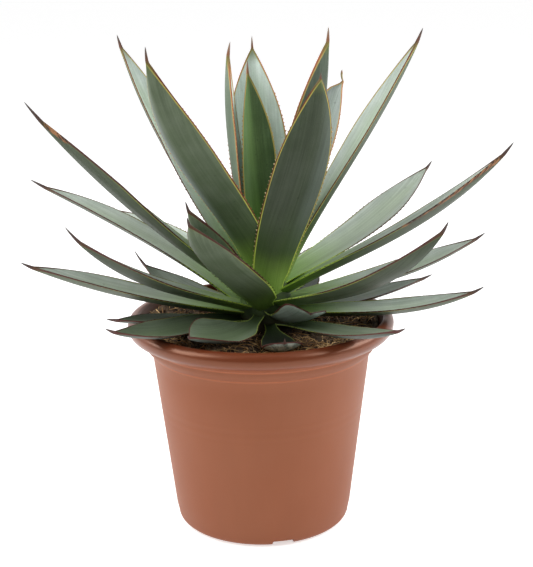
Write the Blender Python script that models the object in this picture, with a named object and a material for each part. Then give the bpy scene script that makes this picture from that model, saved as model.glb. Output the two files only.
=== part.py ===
# A potted agave: a rosette of slim, toothed, spine-tipped leaves in a plain plastic grower's pot.
# Metres, +Z up. The origin is the middle of the pot's foot, where it stands on the table.
# Turns are in degrees round the plant: 0 is the front (-Y), 90 the right (+X), 180 the back.

import math
from collections import namedtuple

import bmesh
import bpy
import numpy as np

MM = 0.001
SEAT_GAP = 0.3            # between touching pieces, in millimetres like every size below

# Pot: a 19 cm grower's pot. Radii and heights of the moulded shell.
POT_SIDES = 48
ARC_STEPS = 3             # straight steps in each rounded corner of the profile
POT_WALL = 2.0
POT_FLOOR = 6.0
FOOT_RADIUS = 57.0
FOOT_ROUND = 5.0
FOOT_WALL_RADIUS = 62.7
WALL_TOP_RADIUS = 78.0
LOWER_RING_HEIGHT = 128.5
LOWER_RING_PROUD = 0.8
LOWER_RING_HALF_HEIGHT = 1.0
COLLAR = ((79.0, 129.2), (81.8, 132.0), (83.2, 135.2))    # flares out from the lower ring to the upper
UPPER_RING = (83.6, 137.0)
FLARE_MIDDLE = (88.9, 140.2)
FLARE_CURL_RADIUS = 86.2      # the flare curls up to the rim round this radius
FLARE_CURL_DEPTH = 7.7
FLARE_CURL_FROM = -47.0       # angle below level, in degrees, and the same for the rim's crest
RIM_CREST_FROM = 25.0
RIM_RADIUS = 95.0
RIM_WIDEST_HEIGHT = 147.6
RIM_CREST_RADIUS = 89.0
RIM_CREST_HEIGHT = 153.0
RIM_INNER_RADIUS = 86.8
RIM_INNER_HEIGHT = 151.0
LIP_FOOT_RADIUS = 81.5
LIP_FOOT_HEIGHT = 141.0
LIP_STEP = 6.0                # below the lip the inside comes back to the wall over this height

# Three drain channels under the foot, each with a hole up into the pot.
DRAIN_TURNS = (13.0, 133.0, 253.0)
DRAIN_WIDTH = 16.0
DRAIN_HEIGHT = 4.0
DRAIN_INNER_END = 30.0
DRAIN_OVERRUN = 10.0          # how far the cutter runs out past the wall
DRAIN_HOLE_RADIUS = 5.0
DRAIN_HOLE_AT = 38.0
DRAIN_HOLE_SIDES = 16

# Soil, level round the stem and a little higher along the rim
SOIL_HEIGHT = 143.5
SOIL_LEVEL_TO = 60.0      # it is level out to this radius
SOIL_EDGE_HEIGHT = 148.8
SOIL_SHOULDER = 1.5       # its edge is rounded off over this height
SOIL_EDGE_WIDTH = 1.5
SOIL_ROUGHNESS = 0.7
SOIL_WAVES = ((5, 0.21), (11, -0.13))     # waves round the pot, and their twist for each millimetre outward
SOIL_RINGS = 5
SOIL_NEAR = 0.1           # a point this near the top or the stem's hole belongs to it
STEM_HOLE_GAP = 2.0

# Stem: a short trunk that ends in a dome, the crown, on which the leaves sit.
STEM_AT = (4.0, 0.0)
STEM_SIDES = 20
STEM_FOOT_HEIGHT = 105.0
STEM_FOOT_RADIUS = 13.0
CROWN_RADIUS = 20.0
CROWN_HEIGHT = 150.0      # of the dome's middle
CROWN_STRETCH = 2.0       # the dome is as tall as it is wide
CROWN_FROM = -25.0        # the dome starts this many degrees below its middle
CROWN_STEPS = 7

# Leaf blade
ROOT_WIDTH = 14.0
ROOT_THICKNESS = 4.0
NECK_LENGTH = 0.08        # the blade widens quickly over this share of its length
BASE_WIDTH = 0.52         # share of the full width that the blade would have at its root without a neck
WIDEST_AT = 0.56
TIP_TAPER = 0.9           # power of the taper beyond the widest place, lower is fuller
TIP_THICKNESS = 1.7
MARGIN_THICKNESS = 0.9
MARGIN_SHARE = 0.6        # but no more than this share of the blade's own thickness
CUP_AT_ROOT = 0.55        # the channel deepens from this share of the leaf's own depth
CUP_GROWTH = 0.60         # by this much more towards the tip
KEEL_HALF_WIDTH = 0.55    # where the keel's shoulders stand, as a share of the half width
KEEL_CUP = 0.42           # how far they follow the channel
KEEL_THICKNESS = 0.72     # their share of the full thickness
SPINE_LENGTH = 10.0
SPINE_WIDTH = 1.8
SETTLED_AT = 0.6          # share of the length by which it has turned from the crown's side to its own
PATH_POINTS = 65          # along the midrib
HEADING_STEP = 2.0        # the midrib's direction is read between points this far either way
START_PULL = 0.30         # how far the leaf keeps its first direction, as a share of its span
END_PULL = 0.40
EDGE_STARTS = (0.0, 0.05)                 # stations of the margins before, between and after the teeth
EDGE_ENDS = (0.94, 0.975, 1.0)
BLADE_STATIONS = (0.0, 0.05, 0.12, 0.22, 0.34, 0.46, 0.58, 0.70, 0.81, 0.90, 0.96, 1.0)

# Teeth along both margins
TOOTH_SPACING = 20.0
FEWEST_TEETH = 4
TEETH_FROM = 0.12
TEETH_TO = 0.88
TOOTH_HEIGHT = 1.3
TOOTH_BASE = 2.0
TOOTH_LEAN = 0.5          # towards the tip, as a share of its height

# Each leaf: where it sits on the crown (turn and angle up the dome), where its tip is (turn, reach
# from the stem's axis, height above the table), its width, the angle at which it leaves the crown,
# the angle of its tip, its roll about its own length and how deeply it is channelled.
Leaf = namedtuple("Leaf", "root_turn root_up turn reach height width rise tip_rise roll cup")

LEAVES = {
    "leaf_heart_1": Leaf(-170, 72, -150, 21, 330, 28, 82, 90, 0, 0.55),
    "leaf_heart_2": Leaf(178, 58, -168, 34, 345, 41, 70, 88, 22, 0.30),
    "leaf_heart_3": Leaf(10, 40, 42, 56, 328, 38, 70, 86, 34, 0.25),
    "leaf_heart_4": Leaf(-109, 60, -100, 22, 344, 29, 86, 98, 0, 0.35),
    "leaf_heart_5": Leaf(60, 62, 62, 49, 355, 38, 76, 86, 10, 0.35),
    "leaf_heart_6": Leaf(161, 46, 142, 95, 316, 38, 60, 66, 0, 0.30),
    "leaf_inner_1": Leaf(-28, 62, -55, 91, 347, 40, 66, 86, -18, 0.35),
    "leaf_inner_2": Leaf(-138, 44, -115, 113, 346, 40, 46, 71, 0, 0.40),
    "leaf_inner_3": Leaf(92, 51, 100, 112, 350, 33, 66, 66, 0, 0.40),
    "leaf_inner_4": Leaf(-14, 22, -34, 90, 241, 43, 40, 70, 0, 0.30),
    "leaf_inner_5": Leaf(-40, 34, -44, 75, 247, 35, 44, 70, 0, 0.30),
    "leaf_middle_1": Leaf(-90, 34, -70, 163, 314, 28, 36, 52, 0, 0.45),
    "leaf_middle_2": Leaf(116, 42, 120, 145, 248, 38, 23, 46, 0, 0.22),
    "leaf_middle_3": Leaf(70, 36.5, 77, 169, 280, 30, 31, 52, 0, 0.36),
    "leaf_middle_4": Leaf(-112, 15, -100, 170, 247, 32, 36, 26, 0, 0.30),
    "leaf_middle_5": Leaf(-149, 10, -126, 153, 214, 32, 26, 16, 0, 0.30),
    "leaf_outer_1": Leaf(42, 23, 48, 153, 242, 36, 16, 60, 0, 0.40),
    "leaf_outer_2": Leaf(100, 18, 100, 162, 203, 34, 10, 31, 0, 0.30),
    "leaf_outer_3": Leaf(-63, 18, -60, 149, 236, 33, 20, 52, 0, 0.30),
    "leaf_outer_4": Leaf(-83, 9, -80, 170, 201, 34, 10, 26, 0, 0.35),
    "leaf_outer_5": Leaf(-120, 4, -120, 113, 187, 32, 6, 54, 0, 0.30),
    "leaf_outer_6": Leaf(79, 7, 80, 153, 178, 29, 6, 30, 0, 0.35),
    "leaf_outer_7": Leaf(108, 2, 106, 128, 170.5, 24, 6, 18, 0, 0.20),
    "leaf_low_1": Leaf(45, 0, 36, 147, 178, 26, 6, 26, 0, 0.20),
    "leaf_low_2": Leaf(26, 11.5, 35, 60, 172, 36, -11, 48, 20, 0.30),
    "leaf_low_3": Leaf(-16, 8.5, -32, 98, 163.5, 36, -11, 28, 16, 0.42),
    "leaf_low_4": Leaf(-57.5, 2.5, -52, 134, 169.5, 30, 14, 30, 8, 0.30),
    "leaf_low_5": Leaf(-88, -3, -70, 117, 163, 26, 2, 12, 0, 0.20),
    "leaf_low_6": Leaf(7, 1, 9, 75, 158, 27, -2, 80, 0, 0.20),
    "leaf_back_1": Leaf(149, 17, 150, 128, 188, 34, 18, 32, 0, 0.30),
    "leaf_back_2": Leaf(-171, 22, -176, 132, 207, 34, 16, 30, 0, 0.30),
    "leaf_back_3": Leaf(177, 35, 176, 118, 232, 34, 34, 46, 0, 0.30),
    "leaf_back_4": Leaf(174, 7, 176, 132, 182, 30, 6, 14, 0, 0.35),
    "leaf_back_5": Leaf(146, 0, 157.5, 104, 162.5, 26, 11, 14, 0, 0.35),
    "leaf_back_6": Leaf(-156, 0, -162, 122, 168, 28, 8, 10, 0, 0.35),
}


def metres(millimetres):
    return millimetres * MM


def radial(turn):
    angle = math.radians(turn)
    return np.array([math.sin(angle), -math.cos(angle), 0.0])


def direction(turn, rise):
    angle = math.radians(rise)
    return radial(turn) * math.cos(angle) + np.array([0.0, 0.0, math.sin(angle)])


def unit(vector):
    return vector / np.linalg.norm(vector)


def sideways(heading):
    """The level direction to the right of a heading."""
    return unit(np.cross([heading[0], heading[1], 0.0], [0.0, 0.0, 1.0]))


def make_material(name, colour, roughness):
    material = bpy.data.materials.new(name)
    material.use_nodes = True
    shader = material.node_tree.nodes["Principled BSDF"]
    shader.inputs["Base Color"].default_value = (*colour, 1.0)
    shader.inputs["Roughness"].default_value = roughness
    material.diffuse_color = (*colour, 1.0)
    return material


def make_object(name, bm, material, sharp_angle=35.0):
    bmesh.ops.recalc_face_normals(bm, faces=bm.faces)
    mesh = bpy.data.meshes.new(name)
    bm.to_mesh(mesh)
    bm.free()
    mesh.materials.append(material)
    mesh.shade_smooth()
    mesh.set_sharp_from_angle(angle=math.radians(sharp_angle))
    obj = bpy.data.objects.new(name, mesh)
    bpy.context.collection.objects.link(obj)
    return obj


def turned(profile, sides, centre=(0.0, 0.0)):
    """Spin a list of (radius, height) points, from the axis round to the axis, into a closed body."""
    bm = bmesh.new()
    points = [bm.verts.new((metres(radius), 0.0, metres(height))) for radius, height in profile]
    edges = [bm.edges.new(pair) for pair in zip(points, points[1:])]
    bmesh.ops.spin(bm, geom=points + edges, axis=(0, 0, 1), cent=(0, 0, 0),
                   angle=math.tau, steps=sides, use_duplicate=False)
    bmesh.ops.remove_doubles(bm, verts=bm.verts, dist=metres(0.01))
    bmesh.ops.translate(bm, verts=bm.verts, vec=(metres(centre[0]), metres(centre[1]), 0.0))
    return bm


def arc(centre, radii, start, end, steps):
    """Points on an ellipse in the (radius, height) plane, angles in degrees from +radius."""
    angles = [math.radians(start + (end - start) * i / steps) for i in range(steps + 1)]
    return [(centre[0] + radii[0] * math.cos(a), centre[1] + radii[1] * math.sin(a)) for a in angles]


def wall_radius(height):
    """Outer radius of the tapered wall."""
    share = height / LOWER_RING_HEIGHT
    return FOOT_WALL_RADIUS + (WALL_TOP_RADIUS - FOOT_WALL_RADIUS) * share


def lip_radius(height):
    """Inner radius of the flared lip."""
    share = (height - LIP_FOOT_HEIGHT) / (RIM_INNER_HEIGHT - LIP_FOOT_HEIGHT)
    return LIP_FOOT_RADIUS + (RIM_INNER_RADIUS - LIP_FOOT_RADIUS) * share


def pot_profile():
    foot = arc((FOOT_RADIUS, FOOT_ROUND), (FOOT_WALL_RADIUS - FOOT_RADIUS, FOOT_ROUND), -90, 0, ARC_STEPS)
    ring_foot = LOWER_RING_HEIGHT - LOWER_RING_HALF_HEIGHT
    outside = [
        (wall_radius(ring_foot), ring_foot),
        (WALL_TOP_RADIUS + LOWER_RING_PROUD, LOWER_RING_HEIGHT),
        *COLLAR, UPPER_RING, FLARE_MIDDLE,
    ]
    flare = arc((FLARE_CURL_RADIUS, RIM_WIDEST_HEIGHT),
                (RIM_RADIUS - FLARE_CURL_RADIUS, FLARE_CURL_DEPTH), FLARE_CURL_FROM, 0, ARC_STEPS)
    crest = arc((RIM_CREST_RADIUS, RIM_WIDEST_HEIGHT),
                (RIM_RADIUS - RIM_CREST_RADIUS, RIM_CREST_HEIGHT - RIM_WIDEST_HEIGHT),
                RIM_CREST_FROM, 90, ARC_STEPS)
    step_foot = LIP_FOOT_HEIGHT - LIP_STEP
    inside = [
        (RIM_INNER_RADIUS, RIM_INNER_HEIGHT),
        (LIP_FOOT_RADIUS, LIP_FOOT_HEIGHT),
        (wall_radius(step_foot) - POT_WALL, step_foot),
        (wall_radius(POT_FLOOR) - POT_WALL, POT_FLOOR),
    ]
    return [(0.0, 0.0)] + foot + outside + flare + crest + inside + [(0.0, POT_FLOOR)]


def hide_cutter(obj):
    obj.hide_render = True
    obj.display_type = "WIRE"


def cut(obj, cutter):
    modifier = obj.modifiers.new(cutter.name, "BOOLEAN")
    modifier.operation = "DIFFERENCE"
    modifier.solver = "EXACT"
    modifier.object = cutter


def make_pot():
    pot = make_object("pot", turned(pot_profile(), POT_SIDES),
                      make_material("terracotta plastic", (0.42, 0.15, 0.08), 0.55), 30.0)
    reach = FOOT_WALL_RADIUS + DRAIN_OVERRUN - DRAIN_INNER_END
    for number, turn in enumerate(DRAIN_TURNS, start=1):
        outward = radial(turn)
        bpy.ops.mesh.primitive_cube_add(size=1.0)
        channel = bpy.context.object
        channel.name = f"drain_channel_{number}"
        middle = outward * (DRAIN_INNER_END + reach / 2)
        channel.location = (metres(middle[0]), metres(middle[1]), 0.0)
        channel.rotation_euler.z = math.radians(turn)
        channel.scale = (metres(DRAIN_WIDTH), metres(reach), metres(2 * DRAIN_HEIGHT))
        bpy.ops.mesh.primitive_cylinder_add(vertices=DRAIN_HOLE_SIDES, radius=metres(DRAIN_HOLE_RADIUS),
                                            depth=metres(4 * POT_FLOOR))
        hole = bpy.context.object
        hole.name = f"drain_hole_{number}"
        hole.location = (metres(outward[0] * DRAIN_HOLE_AT), metres(outward[1] * DRAIN_HOLE_AT), 0.0)
        for cutter in (channel, hole):
            hide_cutter(cutter)
            cut(pot, cutter)


def stem_profile():
    dome = arc((0.0, CROWN_HEIGHT), (CROWN_RADIUS, CROWN_RADIUS * CROWN_STRETCH),
               CROWN_FROM, 90, CROWN_STEPS)
    return [(0.0, STEM_FOOT_HEIGHT), (STEM_FOOT_RADIUS, STEM_FOOT_HEIGHT)] + dome[:-1] + [
        (0.0, CROWN_HEIGHT + CROWN_RADIUS * CROWN_STRETCH)]


def make_stem():
    make_object("stem", turned(stem_profile(), STEM_SIDES, STEM_AT),
                make_material("green stem", (0.12, 0.17, 0.07), 0.6))


def make_soil():
    """Soil up to just below the rim, with a plain hole for the stem."""
    hole = CROWN_RADIUS + STEM_HOLE_GAP
    hole_floor = STEM_FOOT_HEIGHT - SEAT_GAP
    gap = 2 * SEAT_GAP
    offset = POT_WALL + gap
    step_foot = LIP_FOOT_HEIGHT - LIP_STEP
    shoulder = SOIL_EDGE_HEIGHT - SOIL_SHOULDER
    edge = lip_radius(shoulder) - gap - SOIL_EDGE_WIDTH
    foot = POT_FLOOR + SEAT_GAP
    profile = [(0.0, foot), (wall_radius(foot) - offset, foot), (wall_radius(step_foot) - offset, step_foot),
               (LIP_FOOT_RADIUS - gap, LIP_FOOT_HEIGHT), (lip_radius(shoulder) - gap, shoulder)]
    for i in range(SOIL_RINGS + 1):
        radius = edge + (hole - edge) * i / SOIL_RINGS
        climb = max(0.0, radius - SOIL_LEVEL_TO) / (edge - SOIL_LEVEL_TO)
        profile.append((radius, SOIL_HEIGHT + (SOIL_EDGE_HEIGHT - SOIL_HEIGHT) * climb ** 2))
    profile += [(STEM_FOOT_RADIUS + SEAT_GAP, hole_floor), (0.0, hole_floor)]
    bm = turned(profile, POT_SIDES)
    for vertex in bm.verts:
        radius = math.hypot(vertex.co.x, vertex.co.y) / MM
        if radius < edge + SOIL_NEAR and vertex.co.z > metres(SOIL_HEIGHT - SOIL_NEAR):
            turn = math.atan2(vertex.co.y, vertex.co.x)
            wave = sum(math.sin(count * turn + twist * radius) for count, twist in SOIL_WAVES)
            vertex.co.z += metres(SOIL_ROUGHNESS * wave / len(SOIL_WAVES))
    for vertex in bm.verts:
        radius = math.hypot(vertex.co.x, vertex.co.y) / MM
        if radius < hole + SOIL_NEAR and vertex.co.z > metres(hole_floor - SOIL_NEAR):
            vertex.co.x += metres(STEM_AT[0])
            vertex.co.y += metres(STEM_AT[1])
    make_object("soil", bm, make_material("peat soil", (0.06, 0.04, 0.025), 0.95), 60.0)


def crown_point(turn, up):
    """A point SEAT_GAP off the crown, with the way its surface faces there."""
    angle = math.radians(up)
    flat = radial(turn)
    top = np.array([0.0, 0.0, 1.0])
    on_dome = flat * CROWN_RADIUS * math.cos(angle) + top * CROWN_RADIUS * CROWN_STRETCH * math.sin(angle)
    facing = unit(flat * math.cos(angle) * CROWN_STRETCH + top * math.sin(angle))
    middle = np.array([STEM_AT[0], STEM_AT[1], CROWN_HEIGHT])
    return middle + on_dome + facing * SEAT_GAP, facing


def leaf_tip(leaf):
    return np.array([STEM_AT[0], STEM_AT[1], 0.0]) + radial(leaf.turn) * leaf.reach + np.array(
        [0.0, 0.0, leaf.height])


class LeafShape:
    """The blade as a function: a point for each share of the length and each line round the section."""

    def __init__(self, leaf):
        self.leaf = leaf
        root, self.root_facing = crown_point(leaf.root_turn, leaf.root_up)
        tip = leaf_tip(leaf)
        span = np.linalg.norm(tip - root)
        first = root + direction(leaf.root_turn, leaf.rise) * span * START_PULL
        second = tip - direction(leaf.turn, leaf.tip_rise) * span * END_PULL
        t = np.linspace(0.0, 1.0, PATH_POINTS)[:, None]
        self.path = ((1 - t) ** 3 * root + 3 * (1 - t) ** 2 * t * first
                     + 3 * (1 - t) * t ** 2 * second + t ** 3 * tip)
        steps = np.linalg.norm(np.diff(self.path, axis=0), axis=1)
        self.run = np.concatenate([[0.0], np.cumsum(steps)])
        self.length = self.run[-1]
        self.blade_length = self.length - SPINE_LENGTH
        self.root_across = sideways(radial(leaf.root_turn))
        self.tip_across = sideways(tip - root)

    def midrib(self, distance):
        return np.array([np.interp(distance, self.run, self.path[:, axis]) for axis in range(3)])

    def axes(self, distance):
        ahead = unit(self.midrib(min(distance + HEADING_STEP, self.length))
                     - self.midrib(max(distance - HEADING_STEP, 0.0)))
        settled = min(1.0, distance / self.length / SETTLED_AT)
        level = self.root_across * (1 - settled) + self.tip_across * settled
        across = unit(level - ahead * np.dot(level, ahead))
        up = np.cross(across, ahead)
        roll = math.radians(self.leaf.roll) * settled
        return (across * math.cos(roll) + up * math.sin(roll),
                up * math.cos(roll) - across * math.sin(roll), ahead)

    def half_width(self, share):
        """Narrow root, quick neck, widest past the middle, then drawn out to the spine."""
        full = self.leaf.width / 2
        if share < WIDEST_AT:
            rising = math.sin(math.pi / 2 * share / WIDEST_AT)
            width = full * (BASE_WIDTH + (1 - BASE_WIDTH) * rising)
            neck = min(1.0, share / NECK_LENGTH)
            blend = neck * neck * (3 - 2 * neck)
            return ROOT_WIDTH / 2 * (1 - blend) + width * blend
        falling = math.cos(math.pi / 2 * (share - WIDEST_AT) / (1 - WIDEST_AT))
        return max(full * max(falling, 0.0) ** TIP_TAPER, SPINE_WIDTH / 2)

    def section(self, share):
        """The eight lines of the section as (across, up) pairs, round from the left upper margin."""
        half = self.half_width(share)
        thick = ROOT_THICKNESS + (TIP_THICKNESS - ROOT_THICKNESS) * share
        edge = min(MARGIN_THICKNESS, thick * MARGIN_SHARE)
        rise = self.leaf.cup * half * (CUP_AT_ROOT + CUP_GROWTH * share)
        keel = KEEL_HALF_WIDTH * half
        shoulder = KEEL_CUP * rise - KEEL_THICKNESS * thick
        return (
            (-half, rise + edge / 2), (0.0, 0.0), (half, rise + edge / 2),
            (half, rise - edge / 2), (keel, shoulder), (0.0, -thick),
            (-keel, shoulder), (-half, rise - edge / 2),
        )

    def point(self, share, line):
        distance = share * self.blade_length
        across, up, ahead = self.axes(distance)
        out, lift = self.section(share)[line]
        place = self.midrib(distance) + across * out + up * lift
        if share == 0.0:
            slant = np.dot(place - self.path[0], self.root_facing) / np.dot(ahead, self.root_facing)
            place = place - ahead * slant
        return place

    def tooth_point(self, share, side):
        distance = share * self.blade_length
        across, up, ahead = self.axes(distance)
        half = self.half_width(share)
        rise = self.section(share)[0][1] - MARGIN_THICKNESS / 2
        outward = across * side
        return (self.midrib(distance) + outward * (half + TOOTH_HEIGHT) + up * rise
                + ahead * TOOTH_HEIGHT * TOOTH_LEAN)


def stitch(bm, first, second):
    """Triangles between two chains of (share, vertex), whichever is behind moving on."""
    i = j = 0
    while i + 1 < len(first) or j + 1 < len(second):
        take_first = j + 1 >= len(second) or (
            i + 1 < len(first) and first[i + 1][0] <= second[j + 1][0])
        if take_first:
            bm.faces.new((first[i][1], first[i + 1][1], second[j][1]))
            i += 1
        else:
            bm.faces.new((first[i][1], second[j + 1][1], second[j][1]))
            j += 1


def tooth_shares(shape):
    """The start and end of each tooth, as shares of the blade."""
    half_base = TOOTH_BASE / 2 / shape.blade_length
    count = max(FEWEST_TEETH, round(shape.blade_length / TOOTH_SPACING))
    middles = np.linspace(TEETH_FROM, TEETH_TO, count)
    return [(float(m - half_base), float(m + half_base)) for m in middles]


def add_margin_band(bm, shape, upper, lower, teeth, side):
    """The thin band between a margin's two lines, with a tooth wherever one stands."""
    starts = {start: (start + end) / 2 for start, end in teeth}
    for i in range(len(upper) - 1):
        a, b, c, d = upper[i][1], upper[i + 1][1], lower[i + 1][1], lower[i][1]
        if upper[i][0] in starts:
            apex = bm.verts.new(shape.tooth_point(starts[upper[i][0]], side) * MM)
            for pair in ((a, b), (b, c), (c, d), (d, a)):
                bm.faces.new((*pair, apex))
        else:
            bm.faces.new((a, b, c))
            bm.faces.new((a, c, d))


def make_leaf(name, leaf, material):
    shape = LeafShape(leaf)
    teeth = tooth_shares(shape)
    edge_shares = list(EDGE_STARTS) + [share for tooth in teeth for share in tooth] + list(EDGE_ENDS)
    bm = bmesh.new()
    chains = []
    for line in range(8):
        shares = edge_shares if line in (0, 2, 3, 7) else BLADE_STATIONS
        chains.append([(share, bm.verts.new(shape.point(share, line) * MM)) for share in shares])
    for line in (0, 1, 3, 4, 5, 6):
        stitch(bm, chains[line], chains[line + 1])
    add_margin_band(bm, shape, chains[2], chains[3], teeth, 1.0)
    add_margin_band(bm, shape, chains[0], chains[7], teeth, -1.0)
    root_ring = [chain[0][1] for chain in chains]
    for first, second in ((0, 1), (1, 2), (2, 3), (3, 4), (6, 7), (7, 0)):
        bm.faces.new((root_ring[5], root_ring[first], root_ring[second]))
    spine = bm.verts.new(shape.path[-1] * MM)
    tip_ring = [chain[-1][1] for chain in chains]
    for first, second in zip(tip_ring, tip_ring[1:] + tip_ring[:1]):
        bm.faces.new((first, second, spine))
    return make_object(name, bm, material, 50.0)


def leaf_colour(name):
    """The heart's young leaves are greener and lighter, the lowest ones darker."""
    if "heart" in name:
        return 0.13, 0.23, 0.13
    if "low" in name:
        return 0.08, 0.12, 0.09
    return 0.10, 0.17, 0.13


def make_leaves():
    for name, leaf in LEAVES.items():
        make_leaf(name, leaf, make_material(f"{name} skin", leaf_colour(name), 0.55))


def main():
    for obj in list(bpy.data.objects):
        bpy.data.objects.remove(obj, do_unlink=True)
    make_pot()
    make_soil()
    make_stem()
    make_leaves()


main()
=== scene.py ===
# A potted agave: slim blue-green leaves round a short stem, in a plain terracotta-coloured plastic pot.
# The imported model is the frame. Every piece here stands where its node stands, in metres.
# Leaf sizes below are in millimetres, turns in degrees round the plant: 0 front, 90 right, 180 back.

import math
import random

import bpy
import numpy as np
from mathutils import Euler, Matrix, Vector, noise


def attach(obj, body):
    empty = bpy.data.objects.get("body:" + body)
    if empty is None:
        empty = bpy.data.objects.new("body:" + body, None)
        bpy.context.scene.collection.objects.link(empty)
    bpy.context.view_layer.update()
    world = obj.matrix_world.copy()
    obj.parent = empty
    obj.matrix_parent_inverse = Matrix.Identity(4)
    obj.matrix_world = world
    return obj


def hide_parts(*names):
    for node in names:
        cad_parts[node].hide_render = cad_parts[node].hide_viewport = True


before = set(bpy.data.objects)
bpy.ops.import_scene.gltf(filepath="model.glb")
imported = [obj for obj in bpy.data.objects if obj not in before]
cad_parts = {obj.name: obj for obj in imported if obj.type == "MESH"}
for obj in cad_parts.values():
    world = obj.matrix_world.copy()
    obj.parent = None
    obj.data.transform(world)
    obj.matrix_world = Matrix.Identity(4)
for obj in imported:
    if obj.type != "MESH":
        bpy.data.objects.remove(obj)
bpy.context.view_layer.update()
mm = 0.001
bpy.ops.object.select_all(action="DESELECT")
print("frame loaded:", len(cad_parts), "nodes")


# Shader maths: a Field is a socket that can be used in sums.

class Field:
    def __init__(self, finish, socket):
        self.finish = finish
        self.socket = socket

    def maths(self, operation, other=None):
        values = {0: self} if other is None else {0: self, 1: other}
        return self.finish.node("ShaderNodeMath", {"operation": operation}, values)

    def __add__(self, other):
        return self.maths("ADD", other)

    def __mul__(self, other):
        return self.maths("MULTIPLY", other)

    def __sub__(self, other):
        return self.maths("SUBTRACT", other)

    def __rsub__(self, other):
        return self * -1.0 + other

    __radd__ = __add__
    __rmul__ = __mul__

    def ramp(self, low, high, start=0.0, end=1.0):
        # goes smoothly from start to end as the field goes from low to high
        settings = {"interpolation_type": "SMOOTHSTEP"}
        values = {0: self, 1: low, 2: high, 3: start, 4: end}
        return self.finish.node("ShaderNodeMapRange", settings, values)

    def band(self, low, full, fade, gone):
        # 0 up to low, 1 from full to fade, 0 again from gone on
        return self.ramp(low, full) * self.ramp(fade, gone, 1.0, 0.0)


class Finish:
    def __init__(self, name, roughness, specular):
        self.material = bpy.data.materials.new(name)
        self.material.use_nodes = True
        self.tree = self.material.node_tree
        self.shader = self.tree.nodes["Principled BSDF"]
        self.shader.inputs["Roughness"].default_value = roughness
        self.shader.inputs["Specular IOR Level"].default_value = specular

    def feed(self, socket, value):
        if isinstance(value, Field):
            self.tree.links.new(value.socket, socket)
        elif isinstance(value, tuple) and len(value) == 3 and len(socket.default_value) == 4:
            socket.default_value = (*value, 1.0)
        else:
            socket.default_value = value

    def node(self, kind, settings=None, values=None, output=0):
        made = self.tree.nodes.new(kind)
        for key, value in (settings or {}).items():
            setattr(made, key, value)
        for key, value in (values or {}).items():
            self.feed(made.inputs[key], value)
        return Field(self, made.outputs[output])

    def mix(self, share, first, second):
        # colours: first where share is 0, second where it is 1
        return self.node("ShaderNodeMix", {"data_type": "RGBA"}, {0: share, 6: first, 7: second}, 2)

    def tint(self, colour, amount):
        # colour times a value
        grey = self.node("ShaderNodeCombineColor", None, {0: amount, 1: amount, 2: amount})
        settings = {"data_type": "RGBA", "blend_type": "MULTIPLY"}
        return self.node("ShaderNodeMix", settings, {0: 1.0, 6: colour, 7: grey}, 2)

    def place(self, scale=(1.0, 1.0, 1.0)):
        # object coordinates in metres, stretched
        coordinates = self.node("ShaderNodeTexCoord", None, None, 3)
        return self.node("ShaderNodeVectorMath", {"operation": "MULTIPLY"}, {0: coordinates, 1: scale})

    def attribute(self, name):
        # the three parts of a vector that each point of the mesh carries
        made = self.node("ShaderNodeAttribute", {"attribute_name": name}, None, 1)
        return [self.node("ShaderNodeSeparateXYZ", None, {0: made}, axis) for axis in range(3)]

    def speckle(self, vector, scale, detail, rough=0.5):
        values = {"Vector": vector, "Scale": scale, "Detail": detail, "Roughness": rough}
        return self.node("ShaderNodeTexNoise", None, values)

    def vector(self, x, y, z):
        return self.node("ShaderNodeCombineXYZ", None, {0: x, 1: y, 2: z})

    def finishWith(self, colour, roughness=None, height=None, depth=0.0):
        # depth is that of the bumps, in metres
        self.feed(self.shader.inputs["Base Color"], colour)
        if roughness is not None:
            self.feed(self.shader.inputs["Roughness"], roughness)
        if height is not None:
            bump = self.node("ShaderNodeBump", None, {"Height": height, "Distance": depth, "Strength": 1.0})
            self.feed(self.shader.inputs["Normal"], bump)
        return self.material


def deselectAll():
    bpy.ops.object.select_all(action="DESELECT")


def finishMesh(obj, material, angle):
    # the place goes into the mesh, edges under the angle are smoothed, and the material is put on
    deselectAll()
    obj.select_set(True)
    bpy.context.view_layer.objects.active = obj
    bpy.ops.object.transform_apply(location=True, rotation=True, scale=True)
    obj.data.materials.clear()
    obj.data.materials.append(material)
    bpy.ops.object.shade_smooth_by_angle(angle=math.radians(angle))
    deselectAll()
    return obj


def standFor(obj, node):
    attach(obj, "root")
    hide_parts(node)


def makeObject(name, vertices, faces):
    mesh = bpy.data.meshes.new(name)
    mesh.from_pydata([tuple(v) for v in vertices], [], faces)
    mesh.update()
    obj = bpy.data.objects.new(name, mesh)
    bpy.context.collection.objects.link(obj)
    return obj


def turnedShape(name, sides, profile, centre=(0.0, 0.0)):
    # a disc at the first (radius, height), whose face is extruded and scaled along the rest
    radius, height = profile[0]
    place = (centre[0] * mm, centre[1] * mm, height * mm)
    bpy.ops.mesh.primitive_circle_add(vertices=sides, radius=radius * mm, fill_type="NGON", location=place)
    obj = bpy.context.object
    obj.name = name
    bpy.ops.object.mode_set(mode="EDIT")
    bpy.ops.mesh.select_mode(type="FACE")
    bpy.ops.mesh.select_all(action="SELECT")
    for nextRadius, nextHeight in profile[1:]:
        step = {"value": (0.0, 0.0, (nextHeight - height) * mm)}
        bpy.ops.mesh.extrude_region_move(TRANSFORM_OT_translate=step)
        share = nextRadius / radius
        middle = (centre[0] * mm, centre[1] * mm, nextHeight * mm)
        bpy.ops.transform.resize(value=(share, share, 1.0), center_override=middle)
        radius, height = nextRadius, nextHeight
    bpy.ops.mesh.select_all(action="SELECT")
    bpy.ops.mesh.normals_make_consistent(inside=False)
    bpy.ops.object.mode_set(mode="OBJECT")
    return obj


def arc(centre, radii, start, end, steps):
    angles = [math.radians(start + (end - start) * i / steps) for i in range(steps + 1)]
    return [(centre[0] + radii[0] * math.cos(a), centre[1] + radii[1] * math.sin(a)) for a in angles]


# The camera at the photograph's place, and a plain studio

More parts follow.
